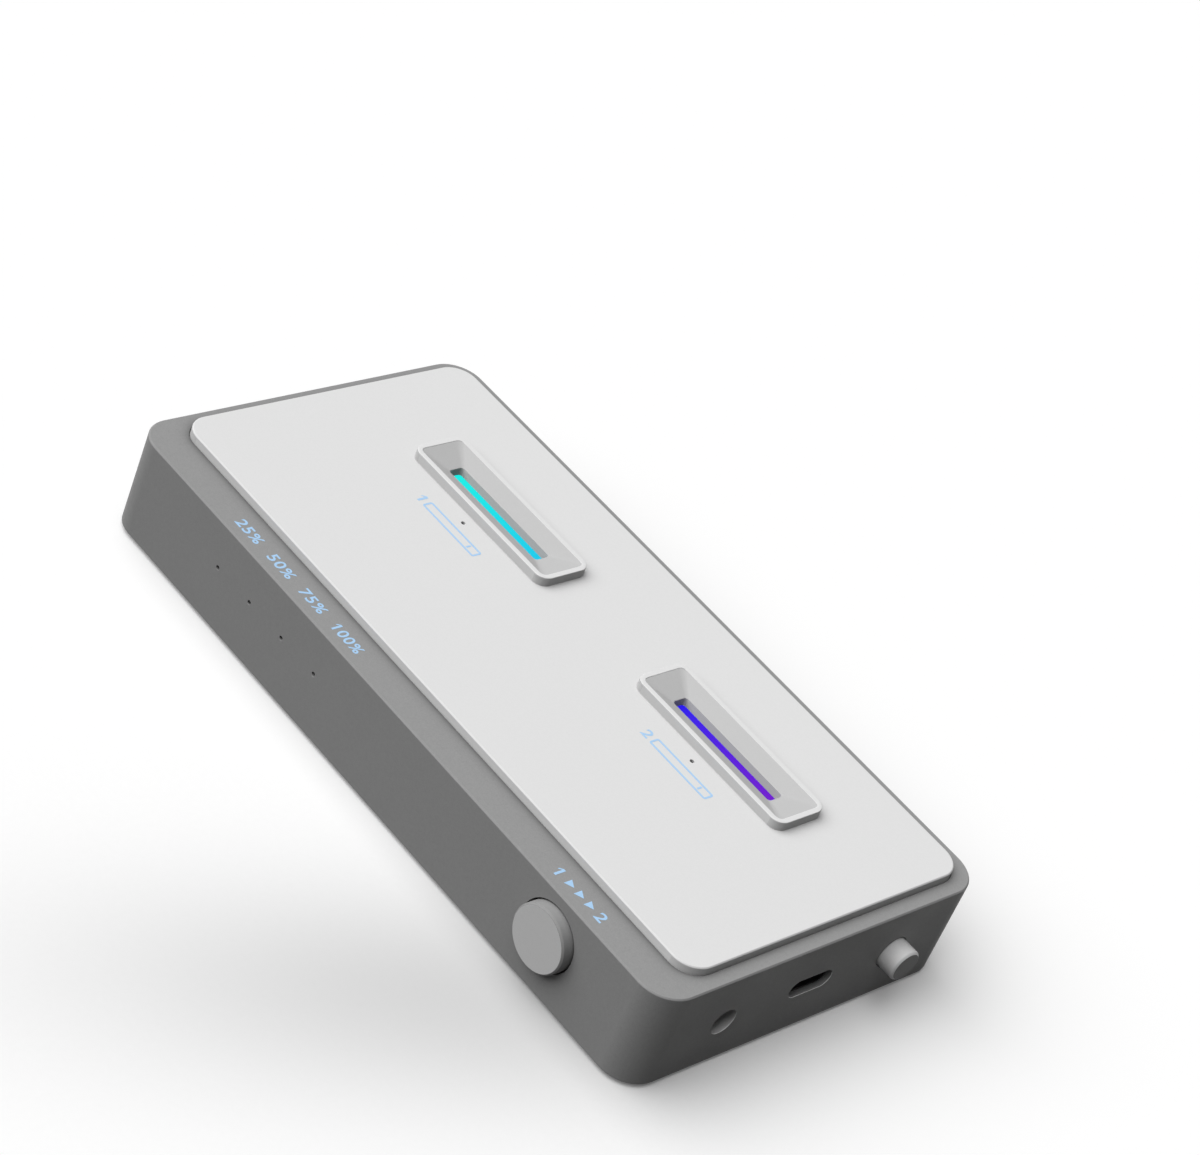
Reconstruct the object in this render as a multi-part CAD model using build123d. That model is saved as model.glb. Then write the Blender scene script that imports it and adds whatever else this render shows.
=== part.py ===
from build123d import *
import os

# A docking station for two M.2 cards, in millimetres. It lies flat with its two card slots up,
# the ports at the +X end and the large round button on the -Y side. The pieces are modelled
# about the middle of the casing, and at the end all of them are moved together so that the
# origin lies on the table under the middle of the whole box, buttons included.

# Casing
case_length = 140.0
case_width = 72.0
case_height = 18.6
case_corner = 6.0
case_edge = 0.25
wall = 2.0
roof = 2.0
cover_thickness = 1.6
cover_gap = 0.15

# Raised plate on top of the casing
plate_rise = 1.5
plate_seat = 0.6
plate_corner = 4.5
plate_bevel = 0.2
plate_gap = 0.1
border_front = 7.4
border_back = 2.7
border_left = 2.65
border_right = 2.85

# Card slots
source_slot_from_end = 39.85
target_slot_from_end = 39.3
slot_from_back = 24.0
bezel_length = 36.4
bezel_width = 11.15
bezel_rise = 1.75
bezel_corner = 2.2
rim = 1.0
well_length = 24.3
well_width = 3.15
well_depth = 1.15
funnel_rise = 0.27
neck_wall = 1.2
neck_reach = 0.4
neck_gap = 0.1

# Card and its socket
card_width = 22.0
card_thickness = 0.8
card_gap = 0.1
card_offset = -1.05
card_edge = 19.9
card_reach = 5.0
socket_length = 23.6
socket_depth = 5.0
guide_bar = 2.6
guide_leg = 2.4
guide_leg_gap = 0.4
guide_gap = 0.2
guide_cover = 0.2
guide_lift = 0.15
socket_gap = 0.1
contact_pitch = 1.0
contact_count = 19
contact_width = 0.3
contact_thickness = 0.25
contact_height = 3.6
key_place = 5
contact_gap = 0.05
key_width = 0.7
key_drop = 1.0
lead_in = 0.35

# Board
board_level = 6.4
board_thickness = 1.6
board_corner = 2.0
board_gap = 2.5
board_port_gap = 0.4

# Round button on the front side, which starts the copy
clone_from_end = 24.0
clone_z = 10.5
clone_radius = 5.7
clone_stand_out = 2.0
clone_chamfer = 0.3
clone_hole_gap = 0.3
clone_ear_span = 16.0
clone_ear_height = 5.0
clone_ear = 1.2
clone_travel = 0.5
ear_gap = 0.3
clone_boss_radius = 2.0
clone_boss = 1.0
clone_stop_gap = 0.1
tact_width = 6.0
tact_height = 5.0
tact_depth = 3.2
tact_wall = 0.6
tact_plunger_radius = 1.5
tact_chamber_radius = 2.3
dome_thickness = 0.1
dome_rise = 0.7
dome_gap = 0.1

# Round button at the right-hand end, which switches the power
power_from_back = 17.0
power_z = 9.2
power_radius = 2.95
power_stand_out = 3.4
power_chamfer = 0.35
power_hole_gap = 0.2
power_travel = 2.0
power_flange = 0.75
power_flange_thickness = 1.0
power_hub_radius = 2.1
power_hub = 2.5
switch_length = 11.0
switch_width = 7.0
switch_height = 6.6
switch_wall = 0.8
switch_gap = 0.2
plunger_radius = 1.1
plunger_grip = 3.2
collar_radius = 1.8
collar_thickness = 1.0
collar_gap = 0.1
tail_radius = 0.8
tail_length = 2.2
stop_gap = 0.2
switch_guide = 3.2
plunger_gap = 0.05
spring_wire = 0.3
spring_coils = 3
spring_gap = 0.02
lug = 1.2
lug_thickness = 1.0

# Ports in the right-hand end
usb_y = 0.0
usb_shell_width = 8.94
usb_shell_height = 3.16
usb_shell_length = 7.3
usb_shell_wall = 0.3
usb_recess = 1.0
usb_hole_gap = 0.2
usb_tongue_width = 6.69
usb_tongue_thickness = 0.7
usb_tongue_length = 4.45
usb_base = 1.5
usb_base_gap = 0.02
jack_from_front = 17.2
jack_z = 8.8
jack_hole_radius = 2.45
jack_bore_radius = 2.05
jack_pin_radius = 0.65
jack_length = 10.9
jack_width = 5.8
jack_bore_depth = 8.0
jack_pin_setback = 1.5
jack_pin_root = 1.5
jack_pin_gap = 0.02
jack_pin_chamfer = 0.25
jack_contact_thickness = 0.25
jack_contact_width = 1.4
jack_contact_length = 4.5
jack_contact_setback = 2.0
jack_contact_sink = 0.05
port_gap = 0.1

# Small lights
light_pin_radius = 0.35
light_hole_gap = 0.05
light_recess = 0.4
progress_from_end = 28.0
progress_pitch = 9.0
progress_count = 4
progress_z = 10.7
progress_pipe_width = 2.2
slot_light_drop = 7.85
slot_pipe_radius = 1.2
chip_light_length = 1.6
chip_light_width = 0.8
chip_light_height = 0.7
light_gap = 0.3
pipe_gap = 0.2
rgb_size = 2.0
rgb_height = 0.8

# Thin pins, screws and their holes are light shapes with this many flat sides
flat_count = 12

# Screws and feet
screw_inset_x = 9.0
screw_inset_y = 6.5
boss_radius = 3.0
screw_radius = 1.25
screw_head_radius = 2.25
screw_head_height = 1.5
screw_drive = 2.6
screw_drive_slot = 0.6
screw_tip_gap = 0.5
screw_grip = 6.0
screw_gap = 0.1
foot_radius = 5.0
foot_stand = 0.6
foot_seat = 0.7
foot_gap = 0.1
rib_length = 20.0
rib_width = 3.0

# Chips and other parts of the board
controller_size = 10.0
bridge_size = 9.0
chip_height = 1.0
flash_length = 6.0
flash_width = 5.0
crystal_length = 3.2
crystal_width = 2.5
crystal_height = 0.8
controller_drop = 19.0
bridge_drop = 17.0
crystal_drop = 26.0
flash_drop = 31.0
inductor_size = 5.0
inductor_height = 3.0
capacitor_radius = 2.5
capacitor_height = 6.2
part_gap = 1.5

# Cutters run this far past what they cut, and meet an inner face this far inside it
past = 1.0
cut_meet = 0.01

# Levels and places worked out from the sizes above
case_bottom = foot_stand
case_top = case_bottom + case_height
roof_under = case_top - roof
plate_floor = case_top - plate_seat
plate_top = case_top + plate_rise
plate_length = case_length - border_left - border_right
plate_width = case_width - border_front - border_back
plate_x = (border_left - border_right) / 2
plate_y = (border_front - border_back) / 2
slot_y = case_width / 2 - slot_from_back
source_slot_x = source_slot_from_end - case_length / 2
target_slot_x = case_length / 2 - target_slot_from_end
slot_light_y = slot_y - slot_light_drop
clone_x = case_length / 2 - clone_from_end
power_y = case_width / 2 - power_from_back
jack_y = jack_from_front - case_width / 2
bezel_top = plate_top + bezel_rise
funnel_floor = plate_top + funnel_rise
well_floor = funnel_floor - well_depth
neck_bottom = roof_under - neck_reach
cover_top = case_bottom + cover_thickness
board_bottom = case_bottom + board_level
board_top = board_bottom + board_thickness
inner_x = case_length / 2 - wall
inner_y = case_width / 2 - wall
screw_x = inner_x - screw_inset_x
screw_y = inner_y - screw_inset_y
board_left = -inner_x + board_gap
board_right = inner_x - board_port_gap
board_side = inner_y - board_gap
guide_length = socket_length + 2 * (guide_leg + guide_leg_gap)
guide_width = socket_depth + 2 * guide_cover
guide_bottom = well_floor - guide_bar
socket_top = guide_bottom - socket_gap
neck_length = guide_length + 2 * (guide_gap + neck_wall)
neck_width = guide_width + 2 * (guide_gap + neck_wall)
card_y = slot_y + card_offset
clone_level = case_bottom + clone_z
power_level = case_bottom + power_z
jack_level = case_bottom + jack_z
usb_level = board_top + usb_shell_height / 2
progress_level = case_bottom + progress_z
power_bore_radius = plunger_radius + plunger_gap


def block(x_range, y_range, z_range):
    size = [high - low for low, high in (x_range, y_range, z_range)]
    middle = [(high + low) / 2 for low, high in (x_range, y_range, z_range)]
    return Pos(*middle) * Box(*size)


def rounded_block(length, width, corner, z_range, x=0.0, y=0.0):
    low, high = z_range
    return Pos(x, y, low) * extrude(RectangleRounded(length, width, corner), high - low)


def upright(radius, z_range, x, y):
    low, high = z_range
    return Pos(x, y, low) * extrude(Circle(radius), high - low)


def upright_flats(radius, z_range, x, y):
    low, high = z_range
    return Pos(x, y, low) * extrude(RegularPolygon(radius, flat_count), high - low)


def lengthways(radius, x_range, y, z):
    low, high = x_range
    return Pos(low, y, z) * Rot(0, 90, 0) * extrude(Circle(radius), high - low)


def lengthways_flats(radius, x_range, y, z):
    low, high = x_range
    return Pos(low, y, z) * Rot(0, 90, 0) * extrude(RegularPolygon(radius, flat_count), high - low)


def crossways(radius, y_range, x, z):
    low, high = y_range
    return Pos(x, low, z) * Rot(-90, 0, 0) * extrude(Circle(radius), high - low)


def crossways_flats(radius, y_range, x, z):
    low, high = y_range
    return Pos(x, low, z) * Rot(-90, 0, 0) * extrude(RegularPolygon(radius, flat_count), high - low)


def usb_stadium(grow, x_range):
    low, high = x_range
    face = Plane(origin=(low, usb_y, usb_level), x_dir=(0, 1, 0), z_dir=(1, 0, 0))
    outline = SlotOverall(usb_shell_width + 2 * grow, usb_shell_height + 2 * grow)
    return extrude(face * outline, high - low)


def corners():
    return [(x, y) for x in (-screw_x, screw_x) for y in (-screw_y, screw_y)]


def progress_places():
    first = progress_from_end - case_length / 2
    return [first + progress_pitch * step for step in range(progress_count)]


def slot_places():
    return [source_slot_x, target_slot_x]


# Casing

def case_shell():
    outside = rounded_block(case_length, case_width, case_corner, (case_bottom, case_top))
    outside = chamfer(outside.edges().group_by(Axis.Z)[-1], case_edge)
    outside = chamfer(outside.edges().group_by(Axis.Z)[0], case_edge)
    inside = rounded_block(2 * inner_x, 2 * inner_y, case_corner - wall, (0, roof_under))
    shell = outside - inside
    shell -= rounded_block(plate_length + 2 * plate_gap, plate_width + 2 * plate_gap,
                           plate_corner, (plate_floor, case_top + past), plate_x, plate_y)
    for x in slot_places():
        shell -= block((x - neck_length / 2 - neck_gap, x + neck_length / 2 + neck_gap),
                       (slot_y - neck_width / 2 - neck_gap, slot_y + neck_width / 2 + neck_gap),
                       (roof_under - past, case_top))
        shell -= upright_flats(light_pin_radius + light_hole_gap, (roof_under - past, case_top),
                               x, slot_light_y)
    for x, y in corners():
        shell += upright_flats(boss_radius, (board_top, roof_under), x, y)
        shell -= upright_flats(screw_radius + screw_gap / 2, (board_top, board_top + screw_grip), x, y)
    front_wall = (-case_width / 2 - past, -inner_y + cut_meet)
    end_wall = (inner_x - cut_meet, case_length / 2 + past)
    shell -= crossways(clone_radius + clone_hole_gap, front_wall, clone_x, clone_level)
    for x in progress_places():
        shell -= crossways_flats(light_pin_radius + light_hole_gap, front_wall, x, progress_level)
    shell -= lengthways(power_radius + power_hole_gap, end_wall, power_y, power_level)
    shell -= lengthways(jack_hole_radius, end_wall, jack_y, jack_level)
    shell -= usb_stadium(usb_hole_gap, end_wall)
    return shell


def bottom_cover():
    outline = (2 * (inner_x - cover_gap), 2 * (inner_y - cover_gap), case_corner - wall - cover_gap)
    cover = rounded_block(*outline, (case_bottom, cover_top))
    for x in slot_places():
        cover += block((x - rib_length / 2, x + rib_length / 2),
                       (slot_y - rib_width / 2, slot_y + rib_width / 2),
                       (cover_top, board_bottom))
    for x, y in corners():
        head_seat = case_bottom + foot_seat + screw_head_height + screw_gap
        cover += upright_flats(boss_radius, (cover_top, board_bottom), x, y)
        cover -= upright(foot_radius + foot_gap, (0, case_bottom + foot_seat), x, y)
        cover -= upright_flats(screw_head_radius + screw_gap, (case_bottom, head_seat), x, y)
        cover -= upright_flats(screw_radius + screw_gap, (case_bottom, board_bottom), x, y)
    return cover


def rubber_feet():
    feet = Part()
    for x, y in corners():
        feet += upright(foot_radius, (0, case_bottom + foot_seat), x, y)
    return feet


def case_screws():
    screws = Part()
    seat = case_bottom + foot_seat + screw_head_height + screw_gap
    for x, y in corners():
        head = upright_flats(screw_head_radius, (seat - screw_head_height, seat), x, y)
        drive = Box(screw_drive, screw_drive_slot, screw_head_height)
        drive += Box(screw_drive_slot, screw_drive, screw_head_height)
        cross = Pos(x, y, seat - screw_head_height) * drive
        shank = upright_flats(screw_radius, (seat, board_top + screw_grip - screw_tip_gap), x, y)
        screws += head - cross + shank
    return screws


def top_plate():
    plate = rounded_block(plate_length, plate_width, plate_corner,
                          (plate_floor, plate_top), plate_x, plate_y)
    plate = chamfer(plate.edges().group_by(Axis.Z)[-1], plate_bevel)
    for x in slot_places():
        plate -= block((x - neck_length / 2 - neck_gap, x + neck_length / 2 + neck_gap),
                       (slot_y - neck_width / 2 - neck_gap, slot_y + neck_width / 2 + neck_gap),
                       (plate_floor - past, plate_top + past))
        plate -= upright_flats(light_pin_radius + light_hole_gap, (plate_floor - past, plate_top + past),
                               x, slot_light_y)
    return plate


# Card slots

def slot_bezel(x):
    frame = rounded_block(bezel_length, bezel_width, bezel_corner, (plate_top, bezel_top), x, slot_y)
    neck = block((x - neck_length / 2, x + neck_length / 2),
                 (slot_y - neck_width / 2, slot_y + neck_width / 2),
                 (neck_bottom, plate_top))
    well = Pos(x, slot_y, funnel_floor) * Rectangle(well_length, well_width)
    mouth = Pos(x, slot_y, bezel_top) * Rectangle(bezel_length - 2 * rim, bezel_width - 2 * rim)
    funnel = loft([well.face(), mouth.face()], ruled=True)
    throat = block((x - well_length / 2, x + well_length / 2),
                   (slot_y - well_width / 2, slot_y + well_width / 2),
                   (well_floor - past, funnel_floor))
    pocket = block((x - guide_length / 2 - guide_gap, x + guide_length / 2 + guide_gap),
                   (slot_y - guide_width / 2 - guide_gap, slot_y + guide_width / 2 + guide_gap),
                   (neck_bottom - past, well_floor))
    return frame + neck - funnel - throat - pocket


def light_guide(x):
    leg_bottom = board_top + rgb_height + guide_lift
    bar = block((x - guide_length / 2, x + guide_length / 2),
                (slot_y - guide_width / 2, slot_y + guide_width / 2),
                (guide_bottom, well_floor))
    slit = block((x - card_width / 2 - 2 * card_gap, x + card_width / 2 + 2 * card_gap),
                 (card_y - card_thickness / 2 - card_gap, card_y + card_thickness / 2 + card_gap),
                 (guide_bottom - past, well_floor + past))
    guide = bar - slit
    for side in (-1, 1):
        outer = x + side * guide_length / 2
        inner = outer - side * guide_leg
        guide += block((min(outer, inner), max(outer, inner)),
                       (slot_y - guide_width / 4, slot_y + guide_width / 4),
                       (leg_bottom, guide_bottom))
    return guide


def m2_socket(x):
    half = card_thickness / 2 + card_gap
    body = block((x - socket_length / 2, x + socket_length / 2),
                 (slot_y - socket_depth / 2, slot_y + socket_depth / 2),
                 (board_top, socket_top))
    edge = card_edge / 2 + card_gap
    channel = block((x - edge, x + edge), (card_y - half, card_y + half),
                    (socket_top - card_reach, socket_top + past))
    rows = block((x - edge, x + edge),
                 (card_y - half - contact_thickness - contact_gap,
                  card_y + half + contact_thickness + contact_gap),
                 (socket_top - card_reach, socket_top - card_reach + contact_height + contact_gap))
    bottom = Pos(x, card_y, socket_top - lead_in) * Rectangle(2 * edge, 2 * half)
    top = Pos(x, card_y, socket_top) * Rectangle(2 * (edge + lead_in), 2 * (half + lead_in))
    lead = loft([bottom.face(), top.face()], ruled=True)
    key_x = contact_x(x, key_place)
    key = block((key_x - key_width / 2, key_x + key_width / 2), (card_y - half, card_y + half),
                (socket_top - card_reach, socket_top - key_drop))
    return body - channel - rows - lead + key


def contact_x(x, place):
    return x + (place - (contact_count - 1) / 2) * contact_pitch


def m2_contacts(x):
    half = card_thickness / 2 + card_gap
    low = socket_top - card_reach
    strips = Part()
    for place in range(contact_count):
        if place == key_place:
            continue
        middle = contact_x(x, place)
        span = (middle - contact_width / 2, middle + contact_width / 2)
        for near in (card_y - half - contact_thickness, card_y + half):
            strips += block(span, (near, near + contact_thickness), (low, low + contact_height))
    return strips


# Board

def main_board():
    length = board_right - board_left
    middle = (board_right + board_left) / 2
    board = rounded_block(length, 2 * board_side, board_corner, (board_bottom, board_top), middle)
    for x, y in corners():
        board -= upright_flats(screw_radius + screw_gap, (board_bottom - past, board_top + past), x, y)
    notches = ((power_y, switch_width, switch_left()), (jack_y, jack_width, jack_left()))
    for y, width, left in notches:
        board -= block((left - switch_gap, board_right + past),
                       (y - width / 2 - switch_gap, y + width / 2 + switch_gap),
                       (board_bottom - past, board_top + past))
    return board


def chip(x, y, length, width, height):
    return block((x - length / 2, x + length / 2), (y - width / 2, y + width / 2),
                 (board_top, board_top + height))


def controller_chip():
    middle = (source_slot_x + target_slot_x) / 2
    return chip(middle, slot_y - controller_drop, controller_size, controller_size, chip_height)


def bridge_chips():
    chips = Part()
    for x in slot_places():
        chips += chip(x, slot_y - bridge_drop, bridge_size, bridge_size, chip_height)
    return chips


def flash_chip():
    middle = (source_slot_x + target_slot_x) / 2
    return chip(middle, slot_y - flash_drop, flash_length, flash_width, chip_height)


def crystals():
    cans = Part()
    for x in slot_places():
        cans += chip(x, slot_y - crystal_drop, crystal_length, crystal_width, crystal_height)
    return cans


def inductors():
    usb_back = case_length / 2 - usb_recess - usb_shell_length
    x = usb_back - inductor_size / 2 - part_gap
    coils = Part()
    for side in (-1, 1):
        y = usb_y + side * (inductor_size + part_gap) / 2
        coils += chip(x, y, inductor_size, inductor_size, inductor_height)
    return coils


def capacitors():
    beside_jack = jack_left() - capacitor_radius - part_gap
    beside_switch = switch_left() - capacitor_radius - part_gap
    apart = capacitor_radius + part_gap / 2
    places = ((beside_jack, jack_y - apart), (beside_jack, jack_y + apart), (beside_switch, power_y))
    cans = Part()
    for x, y in places:
        cans += upright(capacitor_radius, (board_top, board_top + capacitor_height), x, y)
    return cans


# Small lights

def progress_light_pipes():
    pipes = Part()
    half = progress_pipe_width / 2
    for x in progress_places():
        pin = crossways_flats(light_pin_radius, (-case_width / 2 + light_recess, -inner_y),
                              x, progress_level)
        body = block((x - half, x + half), (-inner_y, -board_side - pipe_gap),
                     (board_top + pipe_gap, progress_level + half))
        pipes += pin + body
    return pipes


def progress_leds():
    leds = Part()
    for x in progress_places():
        leds += chip(x, -board_side + chip_light_width / 2, chip_light_length, chip_light_width,
                     chip_light_height)
    return leds


def slot_light_pipes():
    pipes = Part()
    for x in slot_places():
        pin = upright_flats(light_pin_radius, (roof_under, plate_top - light_recess), x, slot_light_y)
        body = upright_flats(slot_pipe_radius, (board_top + chip_light_height + light_gap, roof_under),
                             x, slot_light_y)
        pipes += pin + body
    return pipes


def slot_leds():
    leds = Part()
    for x in slot_places():
        leds += chip(x, slot_light_y, chip_light_length, chip_light_width, chip_light_height)
    return leds


def rgb_leds(x):
    leds = Part()
    for side in (-1, 1):
        place = x + side * (guide_length / 2 - guide_leg / 2)
        leds += chip(place, slot_y, rgb_size, rgb_size, rgb_height)
    return leds


# Ports

def usb_c_shell():
    front = case_length / 2 - usb_recess
    back = front - usb_shell_length
    tube = usb_stadium(0, (back, front))
    return tube - usb_stadium(-usb_shell_wall, (back + usb_shell_wall, front + past))


def usb_c_tongue():
    back = case_length / 2 - usb_recess - usb_shell_length + usb_shell_wall
    base = usb_stadium(-usb_shell_wall - usb_base_gap, (back, back + usb_base))
    tongue = block((back + usb_base, back + usb_base + usb_tongue_length),
                   (usb_y - usb_tongue_width / 2, usb_y + usb_tongue_width / 2),
                   (usb_level - usb_tongue_thickness / 2, usb_level + usb_tongue_thickness / 2))
    return base + tongue


def jack_left():
    return inner_x - port_gap - jack_length


def jack_contact_box(grow):
    front = inner_x - port_gap - jack_contact_setback
    low = jack_level + jack_bore_radius - jack_contact_sink
    return block((front - jack_contact_length - grow, front + grow),
                 (jack_y - jack_contact_width / 2 - grow, jack_y + jack_contact_width / 2 + grow),
                 (low - grow, low + jack_contact_thickness + grow))


def dc_jack_body():
    front = inner_x - port_gap
    half = jack_width / 2
    body = block((jack_left(), front), (jack_y - half, jack_y + half),
                 (jack_level - half, jack_level + half))
    body += block((jack_left(), front), (jack_y - half - lug, jack_y + half + lug),
                  (board_top, board_top + lug_thickness))
    body -= lengthways(jack_bore_radius, (front - jack_bore_depth, front + past), jack_y, jack_level)
    root = front - jack_bore_depth - jack_pin_root
    body -= lengthways(jack_pin_radius + jack_pin_gap, (root, front), jack_y, jack_level)
    return body - jack_contact_box(jack_contact_sink)


def dc_jack_pin():
    front = inner_x - port_gap
    tip = front - jack_pin_setback
    root = front - jack_bore_depth - jack_pin_root
    pin = lengthways(jack_pin_radius, (root, tip), jack_y, jack_level)
    return chamfer(pin.edges().group_by(Axis.X)[-1], jack_pin_chamfer)


def dc_jack_contact():
    return jack_contact_box(0.0)


# Power button and its switch

def switch_front():
    return inner_x - ear_gap - power_flange_thickness - power_hub - power_travel - stop_gap


def switch_left():
    return switch_front() - switch_length


def collar_back():
    return switch_front() - switch_wall - switch_guide - ear_gap - collar_thickness


def power_button_cap():
    flange_front = inner_x - ear_gap
    flange_back = flange_front - power_flange_thickness
    face = case_length / 2 + power_stand_out
    cap = lengthways(power_radius, (flange_front, face), power_y, power_level)
    cap = chamfer(cap.edges().group_by(Axis.X)[-1], power_chamfer)
    cap += lengthways(power_radius + power_flange, (flange_back, flange_front), power_y, power_level)
    cap += lengthways(power_hub_radius, (flange_back - power_hub, flange_back), power_y, power_level)
    grip = (flange_back - power_hub - past, flange_back - power_hub + plunger_grip)
    return cap - lengthways_flats(power_bore_radius, grip, power_y, power_level)


def power_switch_plunger():
    hub_back = inner_x - ear_gap - power_flange_thickness - power_hub
    rod = lengthways_flats(plunger_radius, (collar_back(), hub_back + plunger_grip),
                           power_y, power_level)
    collar = lengthways_flats(collar_radius, (collar_back(), collar_back() + collar_thickness),
                              power_y, power_level)
    tail = lengthways_flats(tail_radius, (collar_back() - tail_length, collar_back()),
                            power_y, power_level)
    return rod + collar + tail


def power_switch_body():
    half = switch_width / 2
    body = block((switch_left(), switch_front()), (power_y - half, power_y + half),
                 (power_level - switch_height / 2, power_level + switch_height / 2))
    body += block((switch_left(), switch_front()), (power_y - half - lug, power_y + half + lug),
                  (board_top, board_top + lug_thickness))
    chamber = (switch_left() + switch_wall, switch_front() - switch_wall - switch_guide)
    body -= lengthways_flats(collar_radius + collar_gap, chamber, power_y, power_level)
    guide = (chamber[1] - past, switch_front() + past)
    return body - lengthways_flats(power_bore_radius, guide, power_y, power_level)


def power_switch_spring():
    back = switch_left() + switch_wall + spring_wire / 2 + spring_gap
    front = collar_back() - spring_wire / 2 - spring_gap
    radius = (collar_radius + tail_radius) / 2
    path = Helix(pitch=(front - back) / spring_coils, height=front - back, radius=radius,
                 center=(back, power_y, power_level), direction=(1, 0, 0))
    section = Plane(origin=path @ 0, z_dir=path % 0) * RegularPolygon(spring_wire / 2, 4)
    return sweep(section, path=path, is_frenet=True)


# Button that starts the copy, and its switch

def ear_back():
    return -inner_y + ear_gap + clone_ear


def tact_front():
    return ear_back() + clone_boss + clone_travel + clone_stop_gap


def clone_button_cap():
    face = -case_width / 2 - clone_stand_out
    cap = crossways(clone_radius, (face, -inner_y + ear_gap), clone_x, clone_level)
    cap = chamfer(cap.edges().group_by(Axis.Y)[0], clone_chamfer)
    cap += block((clone_x - clone_ear_span / 2, clone_x + clone_ear_span / 2),
                 (-inner_y + ear_gap, ear_back()),
                 (clone_level - clone_ear_height / 2, clone_level + clone_ear_height / 2))
    return cap + crossways(clone_boss_radius, (ear_back(), ear_back() + clone_boss), clone_x, clone_level)


def clone_switch_plunger():
    back = tact_front() + tact_depth - tact_wall - dome_rise - clone_stop_gap
    return crossways(tact_plunger_radius, (ear_back() + clone_boss, back), clone_x, clone_level)


def clone_switch_body():
    half = tact_width / 2
    body = block((clone_x - half, clone_x + half), (tact_front(), tact_front() + tact_depth),
                 (board_top, board_top + tact_height))
    chamber = (tact_front() + tact_wall, tact_front() + tact_depth - tact_wall)
    body -= crossways(tact_plunger_radius + plunger_gap, (tact_front() - past, chamber[1]),
                      clone_x, clone_level)
    return body - crossways(tact_chamber_radius, chamber, clone_x, clone_level)


def clone_switch_dome():
    seat = tact_front() + tact_depth - tact_wall
    span = tact_chamber_radius - dome_gap
    sphere_radius = (span ** 2 + dome_rise ** 2) / (2 * dome_rise)
    centre = Pos(clone_x, seat - dome_rise + sphere_radius, clone_level)
    skin = centre * (Sphere(sphere_radius) - Sphere(sphere_radius - dome_thickness))
    reach = 2 * sphere_radius
    return skin & block((clone_x - reach, clone_x + reach), (seat - dome_rise - past, seat),
                        (clone_level - reach, clone_level + reach))


# Every piece by its name

pieces = {
    "case_shell": case_shell(),
    "bottom_cover": bottom_cover(),
    "rubber_feet": rubber_feet(),
    "case_screws": case_screws(),
    "top_plate": top_plate(),
    "main_board": main_board(),
    "controller_chip": controller_chip(),
    "bridge_chips": bridge_chips(),
    "flash_chip": flash_chip(),
    "crystals": crystals(),
    "inductors": inductors(),
    "capacitors": capacitors(),
    "progress_light_pipes": progress_light_pipes(),
    "progress_leds": progress_leds(),
    "slot_light_pipes": slot_light_pipes(),
    "slot_leds": slot_leds(),
    "usb_c_shell": usb_c_shell(),
    "usb_c_tongue": usb_c_tongue(),
    "dc_jack_body": dc_jack_body(),
    "dc_jack_pin": dc_jack_pin(),
    "dc_jack_contact": dc_jack_contact(),
    "power_button_cap": power_button_cap(),
    "power_switch_plunger": power_switch_plunger(),
    "power_switch_body": power_switch_body(),
    "power_switch_spring": power_switch_spring(),
    "clone_button_cap": clone_button_cap(),
    "clone_switch_plunger": clone_switch_plunger(),
    "clone_switch_body": clone_switch_body(),
    "clone_switch_dome": clone_switch_dome(),
}
for name, x in (("source", source_slot_x), ("target", target_slot_x)):
    pieces[name + "_slot_bezel"] = slot_bezel(x)
    pieces[name + "_light_guide"] = light_guide(x)
    pieces[name + "_m2_socket"] = m2_socket(x)
    pieces[name + "_m2_contacts"] = m2_contacts(x)
    pieces[name + "_rgb_leds"] = rgb_leds(x)

# The buttons stand out of the casing on two sides only, so the casing sits off the origin.
to_row = Pos(-power_stand_out / 2, clone_stand_out / 2, 0)
os.makedirs("parts", exist_ok=True)
for name, piece in pieces.items():
    export_step(to_row * piece, "parts/" + name + ".step")
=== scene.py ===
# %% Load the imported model
import math

import bmesh
import bpy
from mathutils import Euler, Matrix, Vector


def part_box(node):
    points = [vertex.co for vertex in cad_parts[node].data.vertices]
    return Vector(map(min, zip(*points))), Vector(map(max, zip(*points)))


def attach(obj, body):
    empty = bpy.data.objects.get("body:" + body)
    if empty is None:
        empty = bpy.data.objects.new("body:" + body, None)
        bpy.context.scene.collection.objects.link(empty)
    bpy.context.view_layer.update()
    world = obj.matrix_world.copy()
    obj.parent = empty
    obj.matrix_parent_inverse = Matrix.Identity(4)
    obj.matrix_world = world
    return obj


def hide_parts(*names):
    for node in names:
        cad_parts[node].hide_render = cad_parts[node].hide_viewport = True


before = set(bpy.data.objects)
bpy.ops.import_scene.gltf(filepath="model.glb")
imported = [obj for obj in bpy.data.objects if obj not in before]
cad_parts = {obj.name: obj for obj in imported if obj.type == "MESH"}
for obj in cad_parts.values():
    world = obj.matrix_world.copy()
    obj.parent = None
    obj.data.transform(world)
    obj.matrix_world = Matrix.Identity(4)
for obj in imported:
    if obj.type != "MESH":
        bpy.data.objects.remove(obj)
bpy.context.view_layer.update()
print("pieces in the packed model:", len(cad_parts))

# %% [markdown]
# # A docking station for two SSD cards
# The real object is a flat box of dark grey plastic with a pale plate let into its top. Two
# funnel shaped slots stand on the plate, and at the bottom of each one a bar of clear plastic
# glows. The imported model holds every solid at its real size, in metres. This script gives those
# solids their finish, and makes anew the few whose edges the eye reads most.

# %% Lengths and colours
mm = 0.001


def linear(level):
    """A grey or colour level from 0 to 255, as a painter would mix it, in linear light."""
    part = level / 255
    return part / 12.92 if part <= 0.04045 else ((part + 0.055) / 1.055) ** 2.4


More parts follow.
